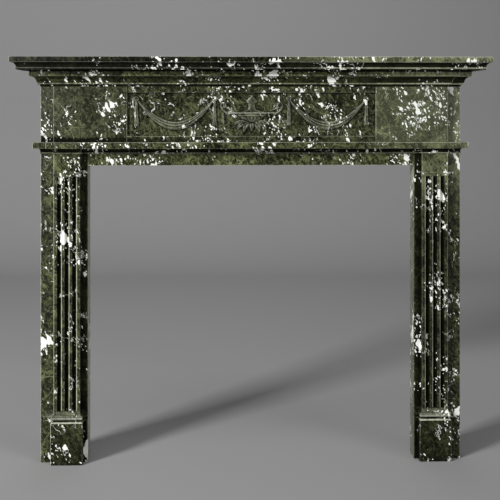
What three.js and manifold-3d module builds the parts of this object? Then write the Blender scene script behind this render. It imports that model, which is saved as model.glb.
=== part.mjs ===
// A carved marble fireplace mantel: two fluted pilaster legs, a lintel, an impost moulding,
// a frieze of three stones with swags and an urn, a bed moulding and a moulded shelf.
// Millimetres, +Z up, the front faces -Y, and the origin is under the middle of the whole box.

import * as THREE from 'three';
import { mergeVertices } from 'three/addons/utils/BufferGeometryUtils.js';
import Module from 'manifold-3d';

const wasm = await Module();
wasm.setup();

// Opening and legs
const openingWidth = 1066.8;
const openingHeight = 963;
const legWidth = 152.4;
const legDepth = 62;
const lintelHeight = 39;
const lintelArris = 2;

// Pilasters on the legs
const innerMargin = 22;
const pilasterWidth = 85;
const pilasterProjection = 20;
const plinthHeight = 138;
const plinthProjection = 9;
const plinthBevel = 3;
const baseMouldHeight = 32;
const baseGroove = 3;
const baseBeadHeight = 9;
const baseBeadProjection = 7;
const neckingHeight = 12;
const neckingProjection = 2.5;
const neckingBelowImpost = 60;

// Flutes
const fluteCount = 3;
const flutePitch = 24.3;
const fluteWidth = 14.2;
const fluteDepth = 6;
const fluteInsetTop = 1;
const fluteInsetBottom = 2;

// Impost moulding
const impostCoveHeight = 18;
const impostCoveProjection = 8;
const impostBeadHeight = 4;
const impostBeadProjection = 3;
const fasciaHeight = 20;
const fasciaProjection = 22;

// Frieze
const friezeHeight = 181;
const panelHalfWidth = 404;
const railHeight = 19.5;
const panelSink = 10;

// Bed moulding
const bedQuirkHeight = 6;
const bedQuirkProjection = 2.5;
const bedBeadHeight = 6;
const bedBeadProjection = 10;
const bedCavettoHeight = 20;
const bedCavettoIn = 12;
const bedCavettoOut = 29.5;
const bedFilletHeight = 20;
const bedFilletProjection = 31.5;

// Shelf
const shelfBeadHeight = 5.5;
const shelfBeadProjection = 65;
const shelfQuirk = 2;
const shelfCavettoHeight = 15;
const shelfCavettoIn = 64;
const shelfCavettoOut = 77;
const shelfFilletHeight = 18;
const shelfFilletProjection = 80;

// Joints and edges
const joint = 0.3;
const arris = 1.2;

// Relief on the sunk panel; X from the middle of the panel, Z from the underside of the frieze
const reliefBury = 3;
const rosetteRadius = 9;
const rosetteHeight = 7;
const rosetteRise = 140;
const swagOuterX = 374;
const swagInnerX = 121;
const swagLowerRise = 39;
const swagUpperRise = 67;
const swagEndWidth = 8;
const swagRelief = 8;
const swagFolds = 3;
const tailLength = 92;
const tailTopWidth = 8;
const tailBottomWidth = 15;
const tailRelief = 6;
const urnRelief = 10;
const urnDishRise = 97;
const urnDishHalfWidth = 80;
const urnDishDrop = 32;
const urnLidRise = 151;
const urnBrimHalfWidth = 17;
const volutePitch = 92;
const voluteRise = 120;
const voluteRadius = 9.5;
const voluteTube = 2.8;
const leafSpread = 58;
const leafBaseRise = 66;
const leafDrop = 37;
const leafWidth = 20;
const leafPairs = 3;
const dropLength = 38;
const dropWidth = 8;

// Grid steps of the relief patches
const swagStepsAlong = 20;
const swagStepsAcross = 12;
const tailStepsAlong = 5;
const tailStepsAcross = 6;
const urnStepsAcross = 10;
const leafStepsAlong = 5;
const leafStepsAcross = 4;
const roundSides = 16;
const arcSteps = 6;

// Places that follow from the sizes above
const openingHalf = openingWidth / 2;
const outerHalf = openingHalf + legWidth;
const pilasterMiddle = openingHalf + innerMargin + pilasterWidth / 2;
const frontHalf = openingHalf + innerMargin + pilasterWidth;
const frontDepth = legDepth + pilasterProjection;
const impostBottom = openingHeight + lintelHeight;
const impostHeight = impostCoveHeight + fasciaHeight;
const friezeBottom = impostBottom + impostHeight;
const bedBottom = friezeBottom + friezeHeight;
const bedHeight = bedQuirkHeight + bedBeadHeight + bedCavettoHeight + bedFilletHeight;
const shelfBottom = bedBottom + bedHeight;
const overallDepth = frontDepth + shelfFilletProjection;
const panelDepth = frontDepth - panelSink;
const swagMiddle = (swagOuterX + swagInnerX) / 2;
const swagHalfSpan = (swagOuterX - swagInnerX) / 2;

const mantel = new THREE.Group();
mantel.position.y = overallDepth / 2;

const marble = new THREE.MeshStandardMaterial({ color: 0x3f4630, roughness: 0.25, metalness: 0 });

// A solid for cutting and joining, from a closed three.js geometry
function solidOf(geometry) {
  geometry.deleteAttribute('normal');
  geometry.deleteAttribute('uv');
  const merged = mergeVertices(geometry, 1e-4);
  const vertProperties = new Float32Array(merged.attributes.position.array);
  const triVerts = new Uint32Array(merged.index.array);
  return new wasm.Manifold(new wasm.Mesh({ numProp: 3, vertProperties, triVerts }));
}

// The three.js geometry of a solid
function geometryOf(solid) {
  const mesh = solid.getMesh();
  const geometry = new THREE.BufferGeometry();
  geometry.setAttribute('position', new THREE.BufferAttribute(new Float32Array(mesh.vertProperties), 3));
  geometry.setIndex(new THREE.BufferAttribute(new Uint32Array(mesh.triVerts), 1));
  geometry.computeVertexNormals();
  return geometry;
}

function addPiece(name, solid, x, z) {
  const piece = new THREE.Mesh(geometryOf(solid), marble.clone());
  piece.name = name;
  piece.position.set(x, 0, z);
  mantel.add(piece);
}

// An upright block: width along X about x, from the wall plane out to a depth, between two heights
function block(x, width, depth, low, high) {
  const geometry = new THREE.BoxGeometry(width, depth, high - low);
  geometry.translate(x, -depth / 2, (low + high) / 2);
  return solidOf(geometry);
}

function extrude(points, length) {
  const shape = new THREE.Shape(points.map(([a, b]) => new THREE.Vector2(a, b)));
  return new THREE.ExtrudeGeometry(shape, { depth: length, bevelEnabled: false });
}

// A moulding that turns its own corners: the profile, a list of [projection, height] from the bottom
// up, is run along the front and along both sides, and the crossing of the two runs is mitred.
function mitredBlock(profile, halfWidth, depth) {
  const reach = Math.max(...profile.map(([out]) => out)) + 1;
  const low = profile[0][1];
  const high = profile[profile.length - 1][1];
  const frontPoints = [[0, high], [0, low], ...profile.map(([out, up]) => [depth + out, up])];
  const frontLength = 2 * (halfWidth + reach);
  const front = extrude(frontPoints, frontLength);
  front.translate(0, 0, -frontLength / 2);
  front.applyMatrix4(new THREE.Matrix4().makeBasis(
    new THREE.Vector3(0, -1, 0), new THREE.Vector3(0, 0, 1), new THREE.Vector3(-1, 0, 0)));
  const right = profile.map(([out, up]) => [halfWidth + out, up]);
  const left = profile.map(([out, up]) => [-halfWidth - out, up]).reverse();
  const side = extrude([...right, ...left], depth + reach + 1);
  side.translate(0, 0, -1);
  side.applyMatrix4(new THREE.Matrix4().makeBasis(
    new THREE.Vector3(1, 0, 0), new THREE.Vector3(0, 0, 1), new THREE.Vector3(0, -1, 0)));
  return solidOf(front).intersect(solidOf(side));
}

// A half-round bead between two heights, out to a projection
function bead(low, height, projection) {
  const radius = height / 2;
  const points = [];
  for (let i = 0; i <= arcSteps; i += 1) {
    const turn = Math.PI * i / arcSteps;
    points.push([projection - radius + radius * Math.sin(turn), low + radius - radius * Math.cos(turn)]);
  }
  return points;
}

// A cavetto: a hollow quarter round that leaves the wall upright and ends level, further out
function cavetto(inner, outer, low, high) {
  const points = [];
  for (let i = 0; i <= arcSteps; i += 1) {
    const turn = Math.PI / 2 * i / arcSteps;
    points.push([outer - (outer - inner) * Math.cos(turn), low + (high - low) * Math.sin(turn)]);
  }
  return points;
}

// A cavetto turned over: it starts level at its foot, further out, and ends upright against the wall
function hollowFoot(outer, inner, low, high) {
  return cavetto(inner, outer, high, low).reverse();
}

function easedFillet(projection, low, high) {
  return [[projection, low], [projection, high - arris], [projection - arris, high]];
}

// A closed solid whose face is a grid of points and whose back is a flat copy of it, sunk in the
// panel. pointAt gives [x, z, relief] for u and v between 0 and 1.
function reliefPatch(stepsU, stepsV, pointAt) {
  const positions = [];
  const columns = stepsU + 1;
  const face = columns * (stepsV + 1);
  for (const sunk of [false, true]) {
    for (let j = 0; j <= stepsV; j += 1) {
      for (let i = 0; i <= stepsU; i += 1) {
        const [x, z, relief] = pointAt(i / stepsU, j / stepsV);
        positions.push(x, sunk ? reliefBury : -relief, z);
      }
    }
  }
  const indices = [];
  const quad = (a, b, c, d) => indices.push(a, b, c, a, c, d);
  for (let j = 0; j < stepsV; j += 1) {
    for (let i = 0; i < stepsU; i += 1) {
      const a = j * columns + i;
      quad(a, a + 1, a + 1 + columns, a + columns);
      quad(face + a, face + a + columns, face + a + 1 + columns, face + a + 1);
    }
  }
  const wall = (a, b) => quad(b, a, face + a, face + b);
  for (let i = 0; i < stepsU; i += 1) {
    wall(i, i + 1);
    wall(stepsV * columns + i + 1, stepsV * columns + i);
  }
  for (let j = 0; j < stepsV; j += 1) {
    wall((j + 1) * columns, j * columns);
    wall(j * columns + stepsU, (j + 1) * columns + stepsU);
  }
  const geometry = new THREE.BufferGeometry();
  geometry.setAttribute('position', new THREE.Float32BufferAttribute(positions, 3));
  geometry.setIndex(indices);
  return solidOf(geometry);
}

// A turned boss that stands out of the panel: profile points are [radius, relief]
function turnedBoss(profile, x, z) {
  const points = [[0, -reliefBury], ...profile].map(([r, out]) => new THREE.Vector2(r, out));
  const geometry = new THREE.LatheGeometry(points, roundSides);
  geometry.rotateX(Math.PI / 2);
  geometry.translate(x, 0, z);
  return solidOf(geometry);
}

// A ring rosette: an outer ring about a hollow, and a button in the middle
function rosette(x, z) {
  const ring = rosetteRadius;
  const tall = rosetteHeight;
  return turnedBoss([
    [ring, -reliefBury], [ring, 0.6 * tall], [0.85 * ring, tall], [0.6 * ring, 0.5 * tall],
    [0.35 * ring, 0.45 * tall], [0.25 * ring, 0.9 * tall], [0, tall],
  ], x, z);
}

// Longitudinal folds across a cloth: rounded ridges between narrow grooves, from 0 to 1
function foldAcross(across, folds) {
  return Math.abs(Math.sin(Math.PI * folds * across));
}

// A swag of cloth between two rosettes, thin at its ends and full in the middle
function swag(middleX) {
  const rise = rosetteRise;
  return reliefPatch(swagStepsAlong, swagStepsAcross, (u, v) => {
    const along = 2 * u - 1;
    const lower = swagLowerRise + (rise - swagEndWidth / 2 - swagLowerRise) * along ** 2;
    const upper = swagUpperRise + (rise + swagEndWidth / 2 - swagUpperRise) * Math.abs(along) ** 1.9;
    const crown = Math.sin(Math.PI * v);
    const relief = 1 + swagRelief * (0.45 * crown + 0.45 * foldAcross(v, swagFolds) * (0.4 + 0.6 * crown));
    return [middleX + swagHalfSpan * along, lower + (upper - lower) * v, relief];
  });
}

// The folded end of the cloth that hangs straight down from a rosette
function tail(x) {
  return reliefPatch(tailStepsAcross, tailStepsAlong, (u, v) => {
    const width = tailBottomWidth + (tailTopWidth - tailBottomWidth) * v;
    const relief = 1 + tailRelief * (0.35 + 0.65 * foldAcross(u, 3));
    return [x + width * (u - 0.5), rosetteRise - tailLength * (1 - v), relief];
  });
}

// A body of revolution in half relief: half widths are [z, half width, share of the full relief]
function turnedRelief(stations) {
  const steps = stations.length - 1;
  return reliefPatch(urnStepsAcross, steps, (u, v) => {
    const [z, halfWidth, share] = stations[Math.round(v * steps)];
    const across = -Math.cos(Math.PI * u);
    return [halfWidth * across, z, 1 + share * urnRelief * Math.sqrt(Math.max(0, 1 - across ** 2))];
  });
}

// The covered urn: a wide shallow dish with a rim, and a domed lid with a brim and a neck
function urn() {
  const rim = urnDishRise;
  const wide = urnDishHalfWidth;
  const dish = turnedRelief([
    [rim - urnDishDrop, 0.16 * wide, 0.55], [rim - 0.85 * urnDishDrop, 0.3 * wide, 0.6],
    [rim - 0.62 * urnDishDrop, 0.56 * wide, 0.72], [rim - 0.38 * urnDishDrop, 0.78 * wide, 0.82],
    [rim - 0.14 * urnDishDrop, 0.93 * wide, 0.78], [rim - 0.1 * urnDishDrop, wide, 0.9], [rim, wide, 0.9],
  ]);
  const brim = urnBrimHalfWidth;
  const lidHeight = urnLidRise - rim;
  const lid = turnedRelief([
    [rim - 2, 1.5 * brim, 0.8], [rim + 0.1 * lidHeight, 0.85 * brim, 0.75],
    [rim + 0.2 * lidHeight, 0.66 * brim, 0.65], [rim + 0.52 * lidHeight, 0.62 * brim, 0.65],
    [rim + 0.58 * lidHeight, brim, 0.9], [rim + 0.66 * lidHeight, brim, 0.9],
    [rim + 0.78 * lidHeight, 0.8 * brim, 0.75], [rim + 0.9 * lidHeight, 0.42 * brim, 0.6],
    [urnLidRise, 0.12 * brim, 0.4],
  ]);
  return dish.add(lid);
}

// A rolled handle: a ring with an eye, and a stem that sweeps in to the dish
function handle(side) {
  const r = voluteRadius;
  const ring = turnedBoss([
    [r, -reliefBury], [r, 0.65 * rosetteHeight], [0.8 * r, rosetteHeight], [0.5 * r, 0.5 * rosetteHeight],
    [0.3 * r, 0.5 * rosetteHeight], [0.2 * r, rosetteHeight], [0, rosetteHeight],
  ], side * volutePitch, voluteRise);
  const stemStart = [volutePitch + 0.6 * r, voluteRise - 0.7 * r];
  const stemEnd = [urnDishHalfWidth - 6, urnDishRise - 7];
  const stem = reliefPatch(2, 6, (u, v) => {
    const bow = 5 * Math.sin(Math.PI * v);
    const x = stemEnd[0] + (stemStart[0] - stemEnd[0]) * v + bow;
    const z = stemEnd[1] + (stemStart[1] - stemEnd[1]) * v - bow;
    const across = 2 * u - 1;
    const relief = 1 + 0.7 * rosetteHeight * (1 - 0.6 * across ** 2);
    return [side * (x + side * across * voluteTube), z + side * across * 0.4 * voluteTube, relief];
  });
  return ring.add(stem);
}

// A leaf that springs from one point and bends over: lean is where its tip lands, from -1 to 1
function leaf(lean) {
  const tipX = leafSpread * lean;
  const tipDrop = leafDrop * (1 - 0.35 * Math.abs(lean));
  return reliefPatch(leafStepsAcross, leafStepsAlong, (u, v) => {
    const along = 1 - v;
    const x = tipX * (0.12 + 0.88 * along ** 0.8);
    const z = leafBaseRise - tipDrop * along ** 1.5;
    const across = 2 * u - 1;
    const width = leafWidth * (0.25 + 0.75 * Math.sin(Math.PI * (0.12 + 0.8 * along)) ** 1);
    const relief = 1 + 0.6 * urnRelief * (0.5 + 0.5 * Math.sin(Math.PI * along)) * (1 - 0.7 * Math.abs(across));
    return [x + 0.5 * width * across, z + 0.3 * width * lean * across, relief];
  });
}

// A short hanging drop under a handle
function hangingDrop(side) {
  return reliefPatch(4, 4, (u, v) => {
    const width = dropWidth * (0.4 + 0.6 * Math.sin(Math.PI * (0.15 + 0.7 * (1 - v))));
    const relief = 1 + 3 * Math.sin(Math.PI * u);
    return [side * volutePitch + width * (u - 0.5), voluteRise - 20 - dropLength * (1 - v), relief];
  });
}

// The carved middle stone of the frieze: two rails, a sunk panel between them and the relief on it
function friezePanel() {
  const width = 2 * (panelHalfWidth - joint);
  let stone = block(0, width, panelDepth, 0, friezeHeight - joint);
  stone = stone.add(block(0, width, frontDepth, 0, railHeight));
  stone = stone.add(block(0, width, frontDepth, friezeHeight - railHeight, friezeHeight - joint));
  const carving = [urn(), leaf(0)];
  for (const side of [-1, 1]) {
    carving.push(swag(side * swagMiddle), handle(side), hangingDrop(side));
    for (const x of [swagInnerX, swagOuterX]) {
      carving.push(tail(side * x), rosette(side * x, rosetteRise));
    }
    for (let i = 1; i <= leafPairs; i += 1) {
      carving.push(leaf(side * i / leafPairs));
    }
  }
  for (const form of carving) {
    stone = stone.add(form.translate(0, -panelDepth, 0));
  }
  return stone;
}

// An end stone of the frieze, seen from above: full depth over the pilaster, set back outside it
function endBlock(side) {
  const inner = panelHalfWidth;
  const plan = [
    [side * inner, 0], [side * outerHalf, 0], [side * outerHalf, -legDepth],
    [side * frontHalf, -legDepth], [side * frontHalf, -frontDepth], [side * inner, -frontDepth],
  ];
  return solidOf(extrude(plan, friezeHeight - joint));
}

const impostCove = [
  [impostBeadProjection - impostBeadHeight / 2, 0],
  ...bead(0, impostBeadHeight, impostBeadProjection).slice(1, -1),
  ...cavetto(0.5, impostCoveProjection, impostBeadHeight, impostCoveHeight),
];

function impostMoulding() {
  const fascia = [[fasciaProjection - arris, impostCoveHeight], [fasciaProjection, impostCoveHeight + arris],
    ...easedFillet(fasciaProjection, impostCoveHeight + 2 * arris, impostHeight - joint)];
  const cove = [...impostCove, [impostCoveProjection, impostCoveHeight + 1]];
  let moulding = mitredBlock(fascia, outerHalf, legDepth).add(mitredBlock(fascia, frontHalf, frontDepth));
  moulding = moulding.add(mitredBlock(cove, outerHalf, legDepth));
  for (const side of [-1, 1]) {
    const overPilaster = mitredBlock(cove, pilasterWidth / 2, frontDepth);
    moulding = moulding.add(overPilaster.translate(side * pilasterMiddle, 0, 0));
  }
  return moulding;
}

function bedMoulding() {
  const beadBottom = bedQuirkHeight;
  const cavettoBottom = beadBottom + bedBeadHeight;
  const filletBottom = cavettoBottom + bedCavettoHeight;
  const profile = [
    [bedQuirkProjection, 0], [bedQuirkProjection, beadBottom - 0.5],
    ...bead(beadBottom, bedBeadHeight, bedBeadProjection),
    ...cavetto(bedCavettoIn, bedCavettoOut, cavettoBottom + 0.8, filletBottom),
    ...easedFillet(bedFilletProjection, filletBottom + 0.5, bedHeight - joint),
  ];
  return mitredBlock(profile, outerHalf, legDepth).add(mitredBlock(profile, frontHalf, frontDepth));
}

function shelf() {
  const cavettoBottom = shelfBeadHeight + shelfQuirk;
  const filletBottom = cavettoBottom + shelfCavettoHeight;
  const profile = [
    ...bead(0, shelfBeadHeight, shelfBeadProjection),
    [shelfCavettoIn - shelfQuirk, shelfBeadHeight + shelfQuirk / 2],
    ...cavetto(shelfCavettoIn, shelfCavettoOut, cavettoBottom, filletBottom),
    ...easedFillet(shelfFilletProjection, filletBottom + arris, filletBottom + shelfFilletHeight),
  ];
  return mitredBlock(profile, outerHalf, frontDepth);
}

// The pilaster on a leg: plinth, base moulding, shaft, necking band and plain cap
function pilaster() {
  const top = impostBottom - joint;
  const shaftBottom = plinthHeight + baseMouldHeight;
  const grooveTop = plinthHeight + 2 * baseGroove;
  const beadTop = grooveTop + baseBeadHeight;
  const neckingTop = impostBottom - neckingBelowImpost;
  const neckingBottom = neckingTop - neckingHeight;
  const profile = [
    [plinthProjection, 0], [plinthProjection, plinthHeight - plinthBevel],
    [plinthProjection - plinthBevel, plinthHeight], [baseGroove, plinthHeight + baseGroove],
    ...bead(grooveTop, baseBeadHeight, baseBeadProjection),
    ...hollowFoot(baseBeadProjection - 2, 0, beadTop, shaftBottom),
    [0, neckingBottom - 1], [neckingProjection, neckingBottom], [neckingProjection, neckingTop - 1],
    [0, neckingTop], [0, top],
  ];
  let stone = mitredBlock(profile, pilasterWidth / 2, frontDepth);
  const fluteLow = shaftBottom + fluteInsetBottom;
  const fluteHigh = neckingBottom - fluteInsetTop;
  const radius = (fluteWidth ** 2 / 4 + fluteDepth ** 2) / (2 * fluteDepth);
  for (let i = 0; i < fluteCount; i += 1) {
    const x = (i - (fluteCount - 1) / 2) * flutePitch;
    const cutter = new THREE.CylinderGeometry(radius, radius, fluteHigh - fluteLow, 2 * roundSides);
    cutter.rotateX(Math.PI / 2);
    cutter.translate(x, fluteDepth - radius - frontDepth, (fluteLow + fluteHigh) / 2);
    stone = stone.subtract(solidOf(cutter));
  }
  return stone;
}

// One leg: the slab with its set-back strips, and the pilaster on its face
function leg(side) {
  const slab = block(side * (openingHalf + legWidth / 2), legWidth, legDepth, 0, impostBottom - joint);
  return slab.add(pilaster().translate(side * pilasterMiddle, 0, 0));
}

function lintel() {
  const top = lintelHeight - joint;
  const section = [
    [0, 0], [legDepth - lintelArris, 0], [legDepth, lintelArris], [legDepth, top], [0, top],
  ];
  const length = openingWidth - 2 * joint;
  const run = extrude(section, length);
  run.translate(0, 0, -length / 2);
  run.applyMatrix4(new THREE.Matrix4().makeBasis(
    new THREE.Vector3(0, -1, 0), new THREE.Vector3(0, 0, 1), new THREE.Vector3(-1, 0, 0)));
  return solidOf(run);
}

addPiece('left_leg', leg(-1), 0, 0);
addPiece('right_leg', leg(1), 0, 0);
addPiece('lintel', lintel(), 0, openingHeight);
addPiece('impost_moulding', impostMoulding(), 0, impostBottom);
addPiece('frieze_panel', friezePanel(), 0, friezeBottom);
addPiece('left_end_block', endBlock(-1), 0, friezeBottom);
addPiece('right_end_block', endBlock(1), 0, friezeBottom);
addPiece('bed_moulding', bedMoulding(), 0, bedBottom);
addPiece('shelf', shelf(), 0, shelfBottom);

export default mantel;
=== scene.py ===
"""A carved marble fireplace mantel, dressed for rendering.

Every stone is one closed surface worked out with numpy, in metres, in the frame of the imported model:
+X along the shelf, +Y back to the wall, +Z up. Most stones are a plan that is carried up through a
profile; the middle stone of the frieze is a relief over a grid.
"""

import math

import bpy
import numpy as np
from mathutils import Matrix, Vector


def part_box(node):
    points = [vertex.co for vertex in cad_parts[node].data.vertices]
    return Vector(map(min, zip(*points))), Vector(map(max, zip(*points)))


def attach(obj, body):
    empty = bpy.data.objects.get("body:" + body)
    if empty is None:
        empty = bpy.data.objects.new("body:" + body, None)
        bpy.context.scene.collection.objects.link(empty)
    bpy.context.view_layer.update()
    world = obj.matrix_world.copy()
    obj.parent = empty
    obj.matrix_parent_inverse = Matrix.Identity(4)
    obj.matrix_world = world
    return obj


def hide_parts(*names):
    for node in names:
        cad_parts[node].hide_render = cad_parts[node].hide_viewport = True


bl_info = {
    "name": "Fireplace mantel",
    "version": (1, 0, 0),
    "blender": (4, 5, 0),
    "location": "3D View > Sidebar > Mantel",
    "description": "Builds a carved marble fireplace mantel around its packed frame",
    "category": "Object",
}

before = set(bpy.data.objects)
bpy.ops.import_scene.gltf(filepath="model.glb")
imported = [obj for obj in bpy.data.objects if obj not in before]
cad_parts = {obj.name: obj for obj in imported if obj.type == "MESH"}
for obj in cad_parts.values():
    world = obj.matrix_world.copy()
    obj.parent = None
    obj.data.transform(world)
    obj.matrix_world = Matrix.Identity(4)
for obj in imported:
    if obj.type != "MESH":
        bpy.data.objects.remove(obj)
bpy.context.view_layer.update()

BODY = "root"
SHARP_ANGLE = math.radians(32)
NODE_GAP = 220
NODES_IN_ROW = 12
DRIFT_SLANT = math.radians(24)
DRIFT_STRETCH = 0.55


def corners_of(node):
    """The lowest and highest corner of a node of the frame, as arrays."""
    low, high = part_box(node)
    return np.array(low), np.array(high)


LINTEL_LOW, LINTEL_HIGH = corners_of("lintel")
LEG_LOW, LEG_HIGH = corners_of("right_leg")
PANEL_LOW, PANEL_HIGH = corners_of("frieze_panel")
END_LOW, END_HIGH = corners_of("right_end_block")
IMPOST_LOW, IMPOST_HIGH = corners_of("impost_moulding")
BED_LOW, BED_HIGH = corners_of("bed_moulding")
SHELF_LOW, SHELF_HIGH = corners_of("shelf")

WALL_Y = LINTEL_HIGH[1]
STRIP_Y = LINTEL_LOW[1]
FRONT_Y = END_LOW[1]
OPENING_HALF = LEG_LOW[0]
OUTER_HALF = LEG_HIGH[0]


def length(name, description, default, low=-10.0):
    """A length in metres that a user can change."""
    return bpy.props.FloatProperty(
        name=name, description=description, default=default, min=low, unit="LENGTH")


def colour(name, description, default):
    """A colour that a user can change."""
    return bpy.props.FloatVectorProperty(
        name=name, description=description, default=default, min=0.0, max=1.0, subtype="COLOR")


class PilasterSettings(bpy.types.PropertyGroup):
    """Sizes of the pilaster that stands on the face of each leg."""

    inner_margin: length(
        "Inner margin", "Strip of leg between the opening and the pilaster", 0.022, 0.005)
    width: length("Width", "Width of the shaft", 0.085, 0.03)
    plinth_height: length("Plinth height", "Height of the plain block at the foot", 0.138, 0.02)
    base_height: length("Base moulding", "Height of the moulding between plinth and shaft", 0.032, 0.01)
    necking_drop: length("Cap height", "From the top of the leg down to the necking band", 0.060, 0.01)
    necking_height: length("Necking height", "Height of the flat band over the flutes", 0.012, 0.002)
    necking_out: length("Necking projection", "How far the band stands out", 0.0018, 0.0)
    flute_count: bpy.props.IntProperty(
        name="Flutes", description="Number of flutes on a shaft", default=3, min=0, max=7)
    flute_pitch: length("Flute pitch", "From the middle of one flute to the next", 0.0243, 0.005)
    flute_width: length("Flute width", "Width of one flute at the face", 0.0142, 0.002)
    flute_depth: length("Flute depth", "Depth of one flute at its middle", 0.0085, 0.0005)


class EdgeSettings(bpy.types.PropertyGroup):
    """How the masons left the edges."""

    arris: length("Arris", "Radius of the eased edges", 0.0014, 0.0002)


class CarvingSettings(bpy.types.PropertyGroup):
    """Sizes of the relief on the middle stone of the frieze. Heights are above the stone's foot."""

    rail: length("Rail", "Height of the flat rails above and below the sunk panel", 0.0195, 0.005)
    sink: length("Sinking", "Depth of the sunk panel", 0.010, 0.001)
    rosette_rise: length("Rosette height", "Middle of the rosettes", 0.140)
    rosette_radius: length("Rosette radius", "Outer radius of a rosette", 0.0095)
    swag_outer: length("Outer rosette", "From the middle of the panel", 0.374)
    swag_inner: length("Inner rosette", "From the middle of the panel", 0.121)
    swag_low: length("Swag foot", "Lowest point of the lower edge", 0.038)
    swag_high: length("Swag top", "Lowest point of the upper edge", 0.067)
    swag_relief: length("Swag relief", "How far the cloth stands out", 0.0095)
    tail_length: length("Tail", "Length of the cloth end under a rosette", 0.092)
    urn_half: length("Urn half width", "Half the width of the dish at its rim", 0.080)
    urn_rim: length("Urn rim", "Height of the rim", 0.097)
    urn_top: length("Urn top", "Height of the tip of the lid", 0.153)
    urn_foot: length("Urn foot", "Height of the lowest part of the dish", 0.066)
    urn_relief: length("Urn relief", "How far the urn stands out", 0.0105)
    volute_x: length("Handle", "From the middle to the eye of a handle", 0.092)
    volute_rise: length("Handle height", "Height of the eye of a handle", 0.120)
    volute_radius: length("Handle radius", "Radius of the rolled end", 0.0105)
    leaf_spread: length("Leaf spread", "Half width of the leaves under the urn", 0.055)
    columns: bpy.props.IntProperty(
        name="Columns", description="Grid columns over the panel", default=661, min=50, max=800)
    rows: bpy.props.IntProperty(
        name="Rows", description="Grid rows over the sunk panel", default=118, min=20, max=200)


class MarbleSettings(bpy.types.PropertyGroup):
    """Colours and grain of the marble."""

    # The darkest of the ground; at 0.4 it also colours the painted shade.
    black: colour("Black ground", "Darkest of the ground", (0.0040, 0.0048, 0.0018))
    green: colour("Green ground", "Commonest of the ground", (0.0215, 0.0242, 0.0098))
    olive: colour("Olive cloud", "Lightest of the ground", (0.0800, 0.0890, 0.0385))
    fleck: colour("Pale fleck", "Small flecks and hair veins in the ground", (0.190, 0.206, 0.110))
    sawn: colour("Sawn back", "Dull colour of the unpolished backs", (0.150, 0.155, 0.125))
    white: colour("White calcite", "Blotches, veins and specks", (0.90, 0.92, 0.86))
    veil: colour("Grey veil", "Evens out the ground of the greyer stones", (0.092, 0.100, 0.062))
    # The colour of scuffed arrises, which also carries their painted highlights.
    worn_and_painted_light: colour("Worn arris", "Where an edge is rubbed", (0.58, 0.60, 0.48))
    roughness: bpy.props.FloatProperty(
        name="Roughness", description="Of the polished faces", default=0.30, min=0.02, max=1.0)


class StageSettings(bpy.types.PropertyGroup):
    """Camera, lights and backdrop."""

    distance: length("Camera distance", "From the face of the lintel", 2.95)
    height: length("Camera height", "Above the floor", 1.154)
    side: length("Camera side step", "Right of the middle", -0.110)
    turn: bpy.props.FloatProperty(
        name="Camera turn", description="Turned to the right", default=math.radians(1.555),
        subtype="ANGLE")
    lens: bpy.props.FloatProperty(
        name="Lens", description="Focal length in millimetres", default=65.05, min=10.0)
    rise: bpy.props.FloatProperty(
        name="Lens shift", description="Vertical shift as a share of the frame", default=-0.286)
    slide: bpy.props.FloatProperty(
        name="Side shift", description="Sideways shift as a share of the frame", default=0.0150)
    backdrop: colour("Backdrop", "Colour of floor and backdrop", (0.270, 0.270, 0.270))


def mesh_object(name, points, faces, marks):
    """A mesh object at the origin. faces is a list of index arrays, one row for each face; marks is a
    dictionary of one number for each point, which the materials read as attributes."""
    mesh = bpy.data.meshes.new(name)
    corners = np.concatenate([block.ravel() for block in faces]).astype(np.int32)
    sizes = np.concatenate([np.full(len(block), block.shape[1]) for block in faces])
    starts = np.concatenate([[0], np.cumsum(sizes)[:-1]]).astype(np.int32)
    mesh.vertices.add(len(points))
    mesh.vertices.foreach_set("co", points.astype(np.float32).ravel())
    mesh.loops.add(len(corners))
    mesh.loops.foreach_set("vertex_index", corners)
    mesh.polygons.add(len(sizes))
    mesh.polygons.foreach_set("loop_start", starts)
    mesh.update(calc_edges=True)
    if mesh.validate():
        raise RuntimeError(f"{name} has faces that don't hold together")
    for mark, values in marks.items():
        attribute = mesh.attributes.new(mark, "FLOAT", "POINT")
        attribute.data.foreach_set("value", values.astype(np.float32).ravel())
    mesh.shade_smooth()
    mesh.set_sharp_from_angle(angle=SHARP_ANGLE)
    obj = bpy.data.objects.new(name, mesh)
    bpy.context.scene.collection.objects.link(obj)
    return obj


def ring_faces(levels, count, first=0):
    """Quads between rings of count points, and a cap on the first and on the last ring."""
    row = first + np.arange(levels - 1)[:, None] * count
    here = np.arange(count)[None, :]
    after = (here + 1) % count
    quads = np.stack([row + here, row + after, row + count + after, row + count + here], axis=-1)
    bottom = first + np.arange(count)[::-1][None, :]
    top = first + (levels - 1) * count + np.arange(count)[None, :]
    return [quads.reshape(-1, 4), bottom, top]


def rounded(corners, radius, steps=3):
    """Eases every corner of a closed plan. With P the corner, and A and B the points at the radius from
    it along its two sides, the arc is (1-t)^2 A + 2t(1-t) P + t^2 B, for t from 0 to 1."""
    before = np.roll(corners, 1, axis=0) - corners
    after = np.roll(corners, -1, axis=0) - corners
    start = corners + radius * before / np.linalg.norm(before, axis=1, keepdims=True)
    end = corners + radius * after / np.linalg.norm(after, axis=1, keepdims=True)
    t = np.linspace(0, 1, steps + 1)[None, :, None]
    arc = (1 - t) ** 2 * start[:, None] + 2 * t * (1 - t) * corners[:, None] + t ** 2 * end[:, None]
    return arc.reshape(-1, 2)


def bead(low, height, out, rub_and_glint=0.55, steps=8):
    """A half round: out - r + r sin(a), low + r - r cos(a), for a from 0 to 180 degrees, scuffed and lit
    with a painted highlight on top.
    """
    r = height / 2
    a = np.linspace(0, math.pi, steps + 1)
    return np.stack([out - r + r * np.sin(a), low + r - r * np.cos(a), rub_and_glint * np.sin(a)], axis=1)


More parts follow.
